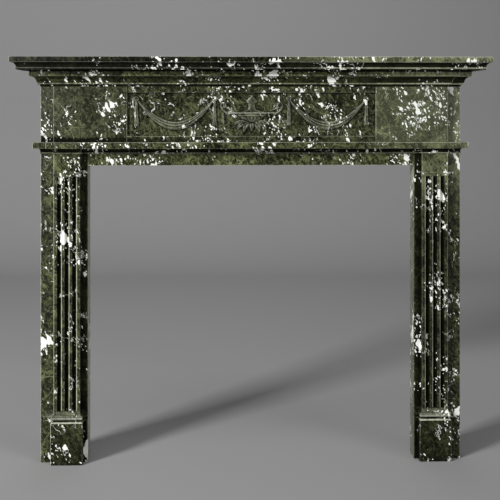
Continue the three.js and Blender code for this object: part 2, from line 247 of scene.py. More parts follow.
def cavetto(inner, outer, low, high, hollow_shade=0.0, steps=10):
    """A hollow quarter: outer - (outer-inner) cos(a), low + (high-low) sin(a), for a from 0 to 90. It is
    darkened with painted shade by the given strength * (0.6 + 0.4 cos(a)^2), most at its foot, which is
    written as a mark below zero."""
    a = np.linspace(0, math.pi / 2, steps + 1)
    out = outer - (outer - inner) * np.cos(a)
    painted_hollow_shade = -hollow_shade * (0.6 + 0.4 * np.cos(a) ** 2)
    return np.stack([out, low + (high - low) * np.sin(a), painted_hollow_shade], axis=1)


def fillet(out, low, high, arris, rub_and_glint=1.0, steps=3):
    """An upright flat band with both arrises eased: quarter rounds of the arris radius, scuffed and lit
    with a painted highlight as far as the given share.
    """
    a = np.linspace(0, math.pi / 2, steps + 1)
    under = np.stack([out - arris + arris * np.sin(a), low + arris - arris * np.cos(a)], axis=1)
    over = np.stack([out - arris + arris * np.cos(a), high - arris + arris * np.sin(a)], axis=1)
    worn_and_painted_light = np.full((len(a), 1), rub_and_glint)
    worn_and_painted_light[-1] = 0.0
    return np.concatenate([np.hstack([under, worn_and_painted_light]), np.hstack([over, worn_and_painted_light[::-1]])])


def carried_up(plan, push, profile, ease=1.0):
    """Carries a plan up a profile. A point of the ring at one level is base + projection * push, where
    push says which way a corner of the plan moves when the moulding stands out. Its corners are eased by
    the arris times ease. Returns the points, as levels by points by three, and the mark of each, which
    is scuffing and painted highlight above zero and painted shade below it."""
    base = rounded(plan, ease * bpy.context.scene.mantel_edges.arris)
    steps = len(base) // len(plan)
    moved = np.repeat(push, steps, axis=0)
    out, high, worn_and_painted_light = profile.T
    across = base[None] + out[:, None, None] * moved[None]
    level = np.broadcast_to(high[:, None, None], across.shape[:2] + (1,))
    at_corner = np.zeros(len(base))
    at_corner.reshape(len(plan), steps)[:, 1:-1] = 1.0
    # The upright corners of the plan are lightened to at least 0.8, as scuffing and a painted highlight
    # on the arrises.
    wear_and_painted_light = np.where(at_corner[None] > 0, np.maximum(worn_and_painted_light[:, None], 0.8), worn_and_painted_light[:, None])
    return np.concatenate([across, level], axis=2), wear_and_painted_light


def mirrored(rings, wear_and_painted_light):
    """The same rings on the other side of the middle, turned round so that faces still look out."""
    return (rings * np.array([-1.0, 1.0, 1.0]))[:, ::-1], wear_and_painted_light[:, ::-1]


def pilaster_edges():
    """How far a pilaster's edge next to the opening and its outer edge are from the middle."""
    pilaster = bpy.context.scene.mantel_pilaster
    inner = OPENING_HALF + pilaster.inner_margin
    return inner, inner + pilaster.width


def front_plan():
    """The plan of a stone that is set back outside the pilasters, from its right back corner round the
    wall side to the left, and along the front to the right; and the push of each corner."""
    outer = pilaster_edges()[1]
    plan = np.array([
        [OUTER_HALF, WALL_Y], [-OUTER_HALF, WALL_Y], [-OUTER_HALF, STRIP_Y], [-outer, STRIP_Y],
        [-outer, FRONT_Y], [outer, FRONT_Y], [outer, STRIP_Y], [OUTER_HALF, STRIP_Y]])
    push = np.array([[1, 0], [-1, 0], [-1, -1], [-1, -1], [-1, -1], [1, -1], [1, -1], [1, -1]], float)
    return plan, push


def stone(name, shells, slot, material, *nodes):
    """One stone from closed shells of rings; it rides on the body and stands for its nodes."""
    points, faces, wear_and_painted_light, first = [], [], [], 0
    for rings, worn_and_painted_light in shells:
        levels, count = rings.shape[:2]
        faces += ring_faces(levels, count, first)
        points.append(rings.reshape(-1, 3))
        wear_and_painted_light.append(worn_and_painted_light.ravel())
        first += levels * count
    obj = mesh_object(name, np.concatenate(points), faces, {"wear_and_painted_light": np.concatenate(wear_and_painted_light)})
    dress(obj, slot, material, *nodes)


def dress(obj, slot, material, *nodes):
    """Gives a piece its marble, its body and the nodes it stands for."""
    obj.data.materials.append(material)
    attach(obj, BODY)
    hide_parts(*nodes)


def add_node(tree, kind, **values):
    """A shader node with its settings given by name; nodes stand in rows, in the order of making."""
    new = tree.nodes.new("ShaderNode" + kind)
    row, column = divmod(len(tree.nodes), NODES_IN_ROW)
    new.location = (column * NODE_GAP, -row * NODE_GAP)
    for key, value in values.items():
        setattr(new, key, value)
    return new


def feed(tree, sockets, *values):
    """Gives each socket a number, a colour or vector, or what another socket puts out."""
    for socket, value in zip(sockets, values):
        if isinstance(value, bpy.types.NodeSocket):
            tree.links.new(value, socket)
        elif isinstance(value, (int, float)) or len(value) == len(socket.default_value):
            socket.default_value = value
        else:
            socket.default_value = (*value, 1.0)


def texture(tree, kind, vector, settings=(), **inputs):
    """A texture or mapping node on a vector, with its numbers given by name. Returns its outputs."""
    new = add_node(tree, kind, **dict(settings))
    feed(tree, [new.inputs["Vector"]], vector)
    for key, value in inputs.items():
        new.inputs[key].default_value = value
    return new.outputs


def noise(tree, vector, scale, detail, roughness=0.5, distortion=0.0):
    """The value of a noise texture."""
    return texture(tree, "TexNoise", vector, Scale=scale, Detail=detail, Roughness=roughness,
                   Distortion=distortion)["Fac"]


def maths(tree, operation, *values):
    """One step of arithmetic on sockets or numbers."""
    new = add_node(tree, "Math", operation=operation)
    feed(tree, new.inputs, *values)
    return new.outputs[0]


def between(tree, value, low, high, out_low=0.0, out_high=1.0):
    """Carries a value smoothly from one range to another, held at its ends."""
    new = add_node(tree, "MapRange", interpolation_type="SMOOTHSTEP")
    feed(tree, new.inputs, value, low, high, out_low, out_high)
    return new.outputs[0]


def lines(tree, value, core, reach, strength):
    """A line wherever a value passes one half: strength as far as core from it, nothing past reach."""
    apart = maths(tree, "ABSOLUTE", maths(tree, "SUBTRACT", value, 0.5))
    return between(tree, apart, core, reach, strength, 0.0)


def shaken(tree, vector, scale, reach):
    """Moves a vector about by a noise: vector + reach * noise colour."""
    warp = noise(tree, vector, scale, 4.0, 0.55).node.outputs["Color"]
    moved = add_node(tree, "VectorMath", operation="MULTIPLY_ADD")
    feed(tree, moved.inputs, warp, (reach, reach, reach), vector)
    return moved.outputs[0]


def blend_colours(tree, share, first, second):
    """Mixes two colours; each is a socket or a triple."""
    new = add_node(tree, "Mix", data_type="RGBA")
    feed(tree, [new.inputs[0], new.inputs[6], new.inputs[7]], share, first, second)
    return new.outputs[2]


def ground_tone(tree, warped, clouds, grain, colours):
    """The ground: clouds of black, green and olive, with pale flecks, hair veins and healed seams."""
    black, green, olive, pale = colours
    tone = blend_colours(tree, between(tree, clouds, 0.57, 0.67), black, green)
    tone = blend_colours(tree, between(tree, clouds, 0.67, 0.79), tone, olive)
    in_light = between(tree, clouds, 0.58, 0.70, 0.35, 1.0)
    fleck = maths(tree, "MULTIPLY", between(tree, grain, 0.53, 0.60, 0.0, 0.55), in_light)
    hairs = lines(tree, noise(tree, warped, 24.0, 4.0, 0.55, 0.6), 0.002, 0.010, 0.45)
    cracks = texture(tree, "TexVoronoi", warped, {"feature": "DISTANCE_TO_EDGE"}, Scale=16.0)
    seam = between(tree, cracks["Distance"], 0.004, 0.028, 0.75, 0.0)
    healed = between(tree, noise(tree, warped, 8.0, 3.0), 0.48, 0.60)
    fleck = maths(tree, "MAXIMUM", fleck, hairs)
    fleck = maths(tree, "MAXIMUM", fleck, maths(tree, "MULTIPLY", seam, healed))
    return blend_colours(tree, fleck, tone, pale)


def calcite_share(tree, warped, drifting, grain, white):
    """Where the calcite lies: in blotches that gather in drifts, in chips of three sizes that keep to
    the drifts, each with its scale, its size and how rare it is, and in thin broken veins."""
    gather = noise(tree, drifting, 12.0, 3.0, 0.55)
    blobs = noise(tree, drifting, 30.0, 2.5, 0.50, 0.2)
    crowd = maths(tree, "ADD", blobs, maths(tree, "MULTIPLY", gather, 0.85))
    calcite = between(tree, crowd, 1.150 - white, 1.158 - white)
    for scale, size, rare in ((58.0, 0.50, 2.40), (100.0, 0.51, 2.40), (170.0, 0.53, 2.34)):
        chips = texture(tree, "TexVoronoi", drifting, Scale=scale)
        ragged = maths(tree, "MULTIPLY_ADD", grain, 0.4, chips["Distance"])
        chip = between(tree, ragged, size, size + 0.03, 1.0, 0.0)
        chance = add_node(tree, "SeparateColor")
        feed(tree, chance.inputs, chips["Color"])
        chosen = maths(tree, "MULTIPLY_ADD", gather, 2.7, chance.outputs[0])
        chosen = between(tree, chosen, rare - 4 * white, rare + 0.01 - 4 * white)
        calcite = maths(tree, "MAXIMUM", calcite, maths(tree, "MULTIPLY", chip, chosen))
    vein = lines(tree, noise(tree, drifting, 8.0, 6.0, 0.62, 0.5), 0.0015, 0.0065, 0.85)
    broken = between(tree, noise(tree, warped, 21.0, 3.0), 0.56 - white, 0.60 - white)
    return maths(tree, "MAXIMUM", calcite, maths(tree, "MULTIPLY", vein, broken))


def foot_darkening_share(tree, clouds, across, up, strength):
    """The black foot of the frieze: full at first, gone a little higher, and less to the right."""
    ragged = maths(tree, "MULTIPLY_ADD", clouds, 0.03, up)
    foot = END_LOW[2] + 0.018
    low = between(tree, ragged, foot + 0.013, foot + 0.023, strength, 0.0)
    return maths(tree, "MULTIPLY", low, between(tree, across, -0.56, 0.10, 1.0, 0.30))


def polish(tree, tone, clouds, painted_shade_and_darkening, back, coords, placed):
    """The shader: polished, but dull where it is darkened or sawn, with fine pits, and saw marks behind.
    """
    polished = bpy.context.scene.mantel_marble.roughness
    rough = between(tree, clouds, 0.5, 0.9, polished - 0.05, polished + 0.10)
    rough = maths(tree, "MAXIMUM", rough, maths(tree, "MULTIPLY", back, 0.85))
    rough = maths(tree, "MAXIMUM", rough, maths(tree, "MULTIPLY", painted_shade_and_darkening, 0.75))
    shine = between(tree, maths(tree, "MAXIMUM", painted_shade_and_darkening, back), 0.0, 0.9, 0.24, 0.04)
    pits = noise(tree, placed, 260.0, 4.0, 0.6)
    saw = texture(tree, "TexWave", coords, {"bands_direction": "Z"},
                  Scale=60.0, Distortion=3.0, Detail=3.0)
    marks = maths(tree, "MULTIPLY", saw["Fac"], maths(tree, "MULTIPLY", back, 1.5))
    bump = add_node(tree, "Bump")
    feed(tree, [bump.inputs[key] for key in ("Strength", "Distance", "Height")],
         0.25, 0.0006, maths(tree, "ADD", pits, marks))
    shader = add_node(tree, "BsdfPrincipled")
    sockets = ("Base Color", "Roughness", "Specular IOR Level", "Normal")
    feed(tree, [shader.inputs[key] for key in sockets], tone, rough, shine, bump.outputs[0])
    feed(tree, add_node(tree, "OutputMaterial").inputs, shader.outputs[0])


def marble(name, place, lift=1.0, white=0.0, fade=None, yellow=0.0, veil=0.0, foot_darkening=0.0):
    """The green marble of one stone. place moves the pattern, so that no two stones are alike; lift
    lightens the ground; white adds or takes blotches; fade, as axis, start, end and share, lightens the
    stone towards one end, where its marks of scuffing, painted highlight and painted shade also show
    more; yellow takes blue out of the ground; veil evens it out to a grey green; the foot darkening
    blackens the foot of the frieze, most at its left end. Over the ground lie the painted shade and the
    darker marks, the calcite, the scuffed edges with their painted highlights and the sawn back, in this
    order."""
    props = bpy.context.scene.mantel_marble
    material = bpy.data.materials.new(name)
    material.use_nodes = True
    tree = material.node_tree
    tree.nodes.clear()
    colours = [[lift * c[0], lift * c[1], lift * (1 - yellow) * c[2]]
               for c in (props.black, props.green, props.olive, props.fleck)]
    coords = add_node(tree, "TexCoord").outputs["Object"]
    placed = texture(tree, "Mapping", coords, Location=place, Rotation=(0.0, DRIFT_SLANT, 0.0))[0]
    warped = shaken(tree, shaken(tree, placed, 14.0, 0.045), 75.0, 0.011)
    drifting = texture(tree, "Mapping", warped, Scale=(1.0, 1.0, DRIFT_STRETCH))[0]
    broad = maths(tree, "MULTIPLY", noise(tree, warped, 16.0, 3.0), 0.30)
    clouds = maths(tree, "ADD", noise(tree, drifting, 80.0, 6.0, 0.72, 1.1), broad)
    grain = noise(tree, drifting, 150.0, 5.0, 0.70)
    tone = ground_tone(tree, warped, clouds, grain, colours)
    if veil:
        haze = between(tree, noise(tree, drifting, 12.0, 5.0, 0.6), 0.35, 0.65, 0.6 * veil, veil)
        tone = blend_colours(tree, haze, tone, props.veil)
    apart = add_node(tree, "SeparateXYZ")
    feed(tree, apart.inputs, coords)
    across, depth, up = apart.outputs
    wear_and_painted_light = add_node(tree, "Attribute", attribute_name="wear_and_painted_light").outputs["Fac"]
    if fade:
        axis, start, end, share = fade
        far = between(tree, apart.outputs[axis], start, end, 0.0, share)
        patchy = maths(tree, "MULTIPLY", far, between(tree, clouds, 0.55, 0.71, 0.25, 1.0))
        tone = blend_colours(tree, patchy, tone, [c * 1.5 for c in props.fleck])
        # Towards that end the marks grow, so the painted highlights and painted shade show more.
        stronger = maths(tree, "ADD", maths(tree, "MULTIPLY", far, 1.5), 1.0)
        wear_and_painted_light = maths(tree, "MULTIPLY", wear_and_painted_light, stronger)
    # Marks below zero darken the stone: painted shade in hollows, quirks and flutes, and a darker band
    # on the legs' inner margins.
    painted_shade_and_darkening = between(tree, wear_and_painted_light, -1.0, 0.0, 0.93, 0.0)
    if foot_darkening:
        painted_shade_and_darkening = maths(tree, "MAXIMUM", painted_shade_and_darkening, foot_darkening_share(tree, clouds, across, up, foot_darkening))
    # The darkening mixes towards a very dark black.
    tone = blend_colours(tree, painted_shade_and_darkening, tone, [c * 0.4 for c in props.black])
    clouded = blend_colours(tree, grain, [c * 0.88 for c in props.white], props.white)
    tone = blend_colours(tree, calcite_share(tree, warped, drifting, grain, white), tone, clouded)
    # Marks above zero lighten the stone towards the colour of scuffed arrises, as scuffing and painted
    # highlight.
    rubbed_and_lit = maths(tree, "MULTIPLY", between(tree, wear_and_painted_light, 0.0, 1.0, 0.0, 0.82),
                   between(tree, clouds, 0.52, 0.74, 0.55, 1.0))
    tone = blend_colours(tree, rubbed_and_lit, tone, props.worn_and_painted_light)
    back = between(tree, depth, WALL_Y - 0.0010, WALL_Y - 0.0003)
    tone = blend_colours(tree, maths(tree, "MULTIPLY", back, 0.72), tone, props.sawn)
    polish(tree, tone, clouds, painted_shade_and_darkening, back, coords, placed)
    return material


def pilaster_profile(pilaster, arris, top):
    """Projection, height, mark and share of the flutes' depth at each level of a pilaster, from the
    floor up.
    The mark is scuffing and painted highlight above zero and painted shade below it. The flutes are
    scooped out over a short length at both ends, as a quarter round."""
    plinth = pilaster.plinth_height
    shaft = plinth + pilaster.base_height
    band_top = top - pilaster.necking_drop
    band_low = band_top - pilaster.necking_height
    plinth_out, bevel, quirk_out = 0.009, 0.0032, 0.0025
    round_height, round_out = 0.0105, 0.0088
    scoop, foot_gap, head_gap = 0.006, 0.002, 0.001
    # The plinth's face is darkened with painted shade, more towards the floor; its bevel, the torus and
    # the fillet above it are scuffed and lit with painted highlights, and the quirks carry painted
    # shade.
    foot_part = np.concatenate([
        [[plinth_out - arris, 0.0, 0.3], [plinth_out, arris, -0.60]],
        [[plinth_out, plinth - bevel - arris, -0.46], [plinth_out - 0.0004, plinth - bevel, 1.0]],
        [[plinth_out - bevel, plinth, 0.6]],
        [[quirk_out, plinth + 0.003, -1.0], [quirk_out, plinth + 0.0055, -1.0]],
        bead(plinth + 0.006, round_height, round_out),
        [[0.0052, plinth + 0.0168, -1.0], [0.0072, plinth + 0.0180, 0.8]],
        cavetto(0.0, 0.0062, shaft, plinth + 0.0192, -0.25)[::-1],
    ])
    a = np.linspace(0, math.pi / 2, 6)
    low = shaft + foot_gap + scoop * (1 - np.cos(a))
    high = band_low - head_gap - scoop * (1 - np.cos(a[::-1]))
    zero = np.zeros_like(a)
    # The foot of the shaft is a little darkened with painted shade.
    shaft_part = np.concatenate([
        np.stack([zero, low, zero - 0.2, np.sin(a)], axis=1),
        np.stack([zero, high, zero, np.sin(a[::-1])], axis=1)])
    head_part = np.concatenate([
        [[0.0, band_low - 0.0002, 0.0]], fillet(pilaster.necking_out, band_low, band_top, 0.0008, 0.4),
        [[0.0, band_top + 0.0002, 0.0], [0.0, top, 0.0]]])
    no_flute = ((0, 0), (0, 1))
    return np.concatenate([np.pad(foot_part, no_flute), shaft_part, np.pad(head_part, no_flute)])


def one_flute(pilaster, rub_and_glint):
    """Across one flute and its lips, with t from -1 to 1 inside it: t, the depth of the half ellipse
    depth * sqrt(1 - t^2), how far the lips are scuffed and lit with a painted highlight, most on the
    outer lip, and how far the hollow is darkened with painted shade, all but its outer wall."""
    inside = -np.cos(np.linspace(0, math.pi, 17))
    t = np.concatenate([[-1.30, -1.10], inside, [1.10, 1.30]])
    outer_lip = (t > -1.12) & (t < -0.75)
    inner_lip = (t > 0.92) & (t < 1.12)
    darkening = np.clip((t + 0.80) / 0.30, 0, 1) * np.clip((1.04 - t) / 0.06, 0, 1)
    return t, pilaster.flute_depth * dome(t), rub_and_glint * outer_lip + 0.15 * inner_lip, darkening


def leg_rings(side):
    """One leg as a plan carried up. The plan runs round the slab, out over the pilaster and across its
    flutes. The flutes are darkened with painted shade, the inner margin is darker, and the face towards
    the opening is paler with painted light. The edges that face outwards are scuffed and lit with
    painted highlights most."""
    pilaster = bpy.context.scene.mantel_pilaster
    arris = bpy.context.scene.mantel_edges.arris
    low_x, high_x = pilaster_edges()
    plan = np.array([
        [OUTER_HALF, WALL_Y], [OPENING_HALF, WALL_Y], [OPENING_HALF, STRIP_Y], [low_x, STRIP_Y],
        [low_x, FRONT_Y], [high_x, FRONT_Y], [high_x, STRIP_Y], [OUTER_HALF, STRIP_Y]])
    push = np.array([[0, 0], [0, 0], [0, 0], [-1, 0], [-1, -1], [1, -1], [1, 0], [0, 0]], float)
    # The left leg takes more painted highlight on its outward edges and more painted light on the face
    # towards the opening; the right leg's inner margin is darker.
    rub_and_glint, margin_darkening, reveal_painted_light = (1.0, 0.60, 0.55) if side < 0 else (0.6, 0.85, 0.30)
    # Each corner of the plan is lightened as scuffing and painted highlight, the outward edges most.
    worn_and_painted_light = np.array([0.2, 0.5, 0.3, 0, 0.25, rub_and_glint, 0, rub_and_glint])
    base = rounded(plan, 1.5 * arris)
    plain = np.zeros(len(base))
    steps = len(base) // len(plan)
    push = np.repeat(push, steps, axis=0)
    # The arris by the opening fades into the darker inner margin.
    darkening = plain.copy()
    darkening[2 * steps:3 * steps] = np.linspace(0.0, 0.65, steps)
    darkening[3 * steps:4 * steps] = margin_darkening
    worn_and_painted_light = (worn_and_painted_light[:, None] * (np.abs(np.arange(steps) - (steps - 1) / 2) < steps / 2 - 0.6)).ravel()
    # The face towards the opening is lightened with painted light.
    worn_and_painted_light[2 * steps - 1:2 * steps + 1] = reveal_painted_light
    across, *each_flute = one_flute(pilaster, rub_and_glint)
    half = pilaster.flute_width / 2
    index = np.arange(pilaster.flute_count) - (pilaster.flute_count - 1) / 2
    middle = (low_x + high_x) / 2
    flute_x = (middle + index[:, None] * pilaster.flute_pitch + half * across[None]).ravel()
    flutes = np.stack([flute_x, np.full_like(flute_x, FRONT_Y)], axis=1)
    face_start = 5 * steps
    base = np.insert(base, face_start, flutes, axis=0)
    push = np.insert(push, face_start, np.tile([0.0, -1.0], (len(flutes), 1)), axis=0)
    darkening, worn_and_painted_light = (np.insert(along, face_start, np.zeros(len(flutes))) for along in (darkening, worn_and_painted_light))
    # The flutes' lips are lightened as scuffing and painted highlight, and their hollows darkened with
    # painted shade.
    cut, lip_rub_and_glint, flute_shade = (
        np.insert(plain, face_start, np.tile(each, pilaster.flute_count)) for each in each_flute)
    on_pilaster = (np.abs(push).sum(axis=1) > 0).astype(float)
    out, high, level_wear_and_light, share = pilaster_profile(pilaster, arris, LEG_HIGH[2]).T
    points = base[None] + out[:, None, None] * push[None]
    points[:, :, 1] += share[:, None] * cut[None]
    level = np.broadcast_to(high[:, None, None], points.shape[:2] + (1,))
    rings = np.concatenate([points, level], axis=2)
    wear_and_painted_light = level_wear_and_light[:, None] * on_pilaster[None]
    wear_and_painted_light = np.where(worn_and_painted_light[None] > 0, np.maximum(wear_and_painted_light, 0.9 * worn_and_painted_light[None]), wear_and_painted_light)
    rubbed_and_lit = share[:, None] * lip_rub_and_glint[None]
    wear_and_painted_light = np.where(rubbed_and_lit > 0, np.maximum(wear_and_painted_light, rubbed_and_lit), wear_and_painted_light)
    # The darker inner margin and the flutes' painted shade are taken off the marks.
    wear_and_painted_light = wear_and_painted_light - np.maximum(darkening[None], share[:, None] * flute_shade[None])
    return (rings, wear_and_painted_light) if side > 0 else mirrored(rings, wear_and_painted_light)


def dome(t):
    """A round top: sqrt(1 - t^2) inside t = 1, and nothing outside."""
    return np.sqrt(np.clip(1 - t ** 2, 0, 1))


def along_curve(x, z, start, bend, end, samples=26):
    """For a curve (1-t)^2 start + 2t(1-t) bend + t^2 end: how far each place of the grid is from it, and
    the t of the nearest place on it."""
    t = np.linspace(0, 1, samples)
    curve = ((1 - t) ** 2)[:, None] * np.array(start) + (2 * t * (1 - t))[:, None] * np.array(bend)
    curve = curve + (t ** 2)[:, None] * np.array(end)
    ax, az = curve[:-1, 0], curve[:-1, 1]
    dx, dz = np.diff(curve[:, 0]), np.diff(curve[:, 1])
    px, pz = x[..., None] - ax, z[..., None] - az
    s = np.clip((px * dx + pz * dz) / (dx ** 2 + dz ** 2), 0, 1)
    apart = np.hypot(px - s * dx, pz - s * dz)
    nearest = apart.argmin(axis=-1)
    share = np.take_along_axis(s, nearest[..., None], axis=-1)[..., 0]
    return apart.min(axis=-1), (nearest + share) / (samples - 1)


def swag_relief(x, z, c):
    """A cloth swag: between a lower edge low + (rise-low) a^2 and an upper edge high + (rise-high)
    |a|^1.9, where a runs from -1 to 1 between the rosettes, it is crowned as sin(pi v) and carries
    longitudinal folds |sin(pi n v)|, which drift a little along the cloth."""
    middle = (c.swag_outer + c.swag_inner) / 2
    a = (x - middle) / ((c.swag_outer - c.swag_inner) / 2)
    lower = c.swag_low + (c.rosette_rise - 0.004 - c.swag_low) * a ** 2
    upper = c.swag_high + (c.rosette_rise + 0.004 - c.swag_high) * np.abs(a) ** 1.9
    v = (z - lower) / (upper - lower)
    inside = (np.abs(a) < 1) & (v > 0) & (v < 1)
    v = np.clip(v, 0, 1)
    drift = 0.05 * np.sin(2.6 * a + 0.4)
    folds = np.abs(np.sin(math.pi * 3 * np.clip(v + drift * np.sin(math.pi * v), 0, 1) ** 1.25)) ** 0.8
    crown = np.sin(math.pi * v) ** 0.6
    height = c.swag_relief * (
        0.22 + 0.48 * crown + 0.26 * folds * (0.35 + 0.65 * crown) + 0.10 * v * folds)
    return np.where(inside, height * (0.72 + 0.28 * dome(a)), 0)


def tail_relief(x, z, middle, c):
    """A cloth end: narrow at its knot, wider at its hem, pleated, with a stepped hem."""
    down = (c.rosette_rise - z) / c.tail_length
    half = 0.0036 + 0.0046 * np.clip(down, 0, 1) ** 0.8
    u = (x - middle) / half
    hem = 1.0 - 0.09 * np.abs(np.sin(math.pi * 1.5 * u))
    inside = (np.abs(u) < 1) & (down > 0) & (down < hem)
    pleats = np.abs(np.sin(math.pi * 1.5 * (u + 0.12 * np.sin(4 * down)))) ** 0.8
    height = 0.0072 * (0.30 + 0.35 * dome(u) + 0.35 * pleats)
    return np.where(inside, height, 0)


def rosette_relief(x, z, middle, rise, radius, petals=8):
    """A round flower: a ring whose edge waves petal by petal, a hollow, and a button."""
    r = np.hypot(x - middle, z - rise) / radius
    turn = np.arctan2(z - rise, x - middle)
    petal = 1 - 0.10 * (1 - np.abs(np.cos(petals / 2 * turn)))
    ring = 0.0078 * dome((r / petal - 0.70) / 0.30)
    button = 0.0084 * dome(r / 0.34)
    web = np.where(r < 0.9, 0.0034, 0)
    return np.maximum(np.maximum(ring, button), web)


def urn_relief(x, z, c):
    """A covered urn in half relief: at each height the half width w comes from its turned outline, and
    the height is relief * sqrt(1 - (x/w)^2), with gadroons on the bowl and beads on the rim."""
    rim, foot, top, wide = c.urn_rim, c.urn_foot, c.urn_top, c.urn_half
    drop = rim - foot
    lift = top - rim
    heights = [*(foot + drop * np.array([0, 0.12, 0.3, 0.55, 0.8])), rim - 0.0055, rim - 0.005, rim]
    widths = [0.12, 0.26, 0.40, 0.50, 0.66, 0.94, 1.0, 1.0]
    w = wide * np.interp(z, heights, widths)
    u = x / w
    bowl = c.urn_relief * (0.30 + 0.70 * dome(u))
    gadroons = np.abs(np.cos(9 * np.arcsin(np.clip(u, -1, 1)))) ** 0.7
    bowl = bowl - 0.0020 * (1 - gadroons) * (z < rim - 0.012)
    bowl = bowl + 0.0014 * ((z > rim - 0.005) | (np.abs(z - rim + 0.0105) < 0.0016))
    bowl = np.where((np.abs(u) < 1) & (z > foot) & (z < rim), bowl, 0)
    heights = rim + lift * np.array(
        [0, 0.08, 0.14, 0.30, 0.50, 0.56, 0.66, 0.72, 0.84, 0.90, 0.95, 1.0])
    widths = [0.52, 0.36, 0.19, 0.145, 0.145, 0.215, 0.225, 0.20, 0.13, 0.055, 0.07, 0.015]
    w = wide * np.interp(z, heights, widths)
    u = x / w
    lid = 0.86 * c.urn_relief * (0.25 + 0.75 * dome(u)) * np.interp(z, [rim, top], [1.0, 0.8])
    lid = np.where((np.abs(u) < 1) & (z >= rim) & (z < top), lid, 0)
    return np.maximum(bowl, lid)


def handle_relief(x, z, c):
    """A rolled handle: a spiral ring with an eye, a stem that sweeps to the rim, and a curled leaf."""
    vx, vz, r = c.volute_x, c.volute_rise, c.volute_radius
    apart = np.hypot(x - vx, z - vz)
    turn = np.arctan2(z - vz, x - vx)
    coil = r * (0.74 - 0.055 * turn / math.pi)
    ring = 0.0080 * dome((apart - coil) / (0.27 * r))
    eye = 0.0086 * dome(apart / (0.30 * r))
    gap, t = along_curve(x, z, (vx + 0.75 * r, vz - 0.4 * r), (vx + 0.2 * r, vz - 2.0 * r),
                         (c.urn_half - 0.006, c.urn_rim - 0.006))
    stem = 0.0074 * dome(gap / (0.0034 + 0.0016 * t))
    gap, t = along_curve(x, z, (vx - 0.5 * r, vz - 0.9 * r), (c.urn_half - 0.008, c.urn_rim + 0.010),
                         (c.urn_half - 0.020, c.urn_rim + 0.004))
    curl = 0.0050 * dome(gap / (0.0034 * np.sin(math.pi * (0.15 + 0.8 * t))))
    return np.maximum.reduce([ring, eye, stem, curl])


def leaf_relief(x, z, start, bend, end, width, height):
    """A leaf along a curve: its half width swells as sin(pi t), its edge is cut into lobes, and a vein
    runs down its middle between two round lobes."""
    gap, t = along_curve(x, z, start, bend, end)
    lobes = 0.80 + 0.20 * np.abs(np.sin(math.pi * 4.5 * t))
    half = width * (0.22 + 0.78 * np.sin(math.pi * np.clip(0.10 + 0.86 * t, 0, 1))) * lobes
    u = gap / half
    vein = 1 - 0.40 * np.exp(-(u / 0.16) ** 2)
    raised = height * (0.25 + 0.75 * dome(u)) * vein * (0.75 + 0.25 * np.sin(math.pi * t))
    return np.where(u < 1, raised, 0)


def carving(x, z, c):
    """Height of the whole relief over the sunk panel: the highest of its forms at each place. x is
    mirrored, so the right half is worked out and serves for both."""
    x = np.abs(x)
    forms = [swag_relief(x, z, c), urn_relief(x, z, c), handle_relief(x, z, c)]
    for middle in (c.swag_inner, c.swag_outer):
        forms.append(tail_relief(x, z, middle, c))
        forms.append(rosette_relief(x, z, middle, c.rosette_rise, c.rosette_radius))
    foot = c.urn_foot - 0.005
    spread = c.leaf_spread
    for lean, drop, width in ((0.0, 0.022, 0.0105), (0.45, 0.025, 0.0115), (0.80, 0.018, 0.0105),
                              (1.0, 0.004, 0.0080)):
        start = (0.10 * spread * lean, foot)
        bend = (0.80 * spread * lean, foot + 0.010 * lean)
        end = (spread * lean, foot - drop)
        forms.append(leaf_relief(x, z, start, bend, end, width, 0.0086))
    for step, size in ((0, 0.0030), (1, 0.0040), (2, 0.0050)):
        top = c.volute_rise - 0.020 - 0.013 * step
        forms.append(leaf_relief(x, z, (c.volute_x, top), (c.volute_x, top - 0.006),
                                 (c.volute_x, top - 0.015), size, 0.0048))
    return np.maximum.reduce(forms)


def softened(grid):
    """Rubs a grid of heights down a little: each place becomes a mean of itself and its neighbours,
    weighted 1, 2, 1 both ways."""
    padded = np.pad(grid, 1, mode="edge")
    rows = (padded[:-2] + 2 * padded[1:-1] + padded[2:]) / 4
    return (rows[:, :-2] + 2 * rows[:, 1:-1] + rows[:, 2:]) / 4


def panel_surface():
    """The face of the frieze's middle stone as a grid, and its marks of scuffing and painted light. The
    face is the front plane on both rails, and between them the sunk panel less the height of the
    carving."""
    scene = bpy.context.scene
    c = scene.mantel_carving
    arris = scene.mantel_edges.arris
    foot, top = PANEL_LOW[2], PANEL_HIGH[2]
    tall = top - foot
    # The rails' arrises are scuffed and lit with painted highlights, and the edges of the sinking by the
    # rails are darkened with painted shade.
    rail = np.array([[0.0, 0.6 * arris, 0.2], [0.3 * arris, 0.2 * arris, 0.2], [arris, 0.0, 0.0],
                     [c.rail - arris, 0.0, 0.0], [c.rail - 0.3 * arris, 0.2 * arris, 0.5],
                     [c.rail, 0.8 * arris, 0.5], [c.rail + 0.0004, c.sink, -0.8]])
    inner = np.linspace(c.rail + 0.0016, tall - c.rail - 0.0016, c.rows)
    middle = np.stack([inner, np.full_like(inner, c.sink), np.zeros_like(inner)], axis=1)
    head = rail[::-1] * np.array([-1.0, 1.0, 1.0]) + np.array([tall, 0.0, 0.0])
    section = np.concatenate([rail, middle, head])
    half = PANEL_HIGH[0]
    xs = np.linspace(-half, half, c.columns)
    x, z = np.meshgrid(xs, section[:, 0])
    height = softened(carving(x, z, c)) * (section[:, 1:2] >= 0.999 * c.sink)
    face = FRONT_Y + section[:, 1:2] - height
    grid = np.stack([x, face, foot + z], axis=-1)
    around = height
    for _ in range(6):
        around = softened(around)
    # The carving is lightened where it stands above its surroundings, and more the higher it stands, as
    # scuffing and painted highlight; between its forms it is darkened with painted shade.
    raised = np.clip((height - around) / 0.0022, -0.5, 0.27)
    wear_and_painted_light = np.where(np.abs(section[:, 2:3]) > 0, section[:, 2:3], raised + 0.015 * height / 0.001)
    return grid, wear_and_painted_light


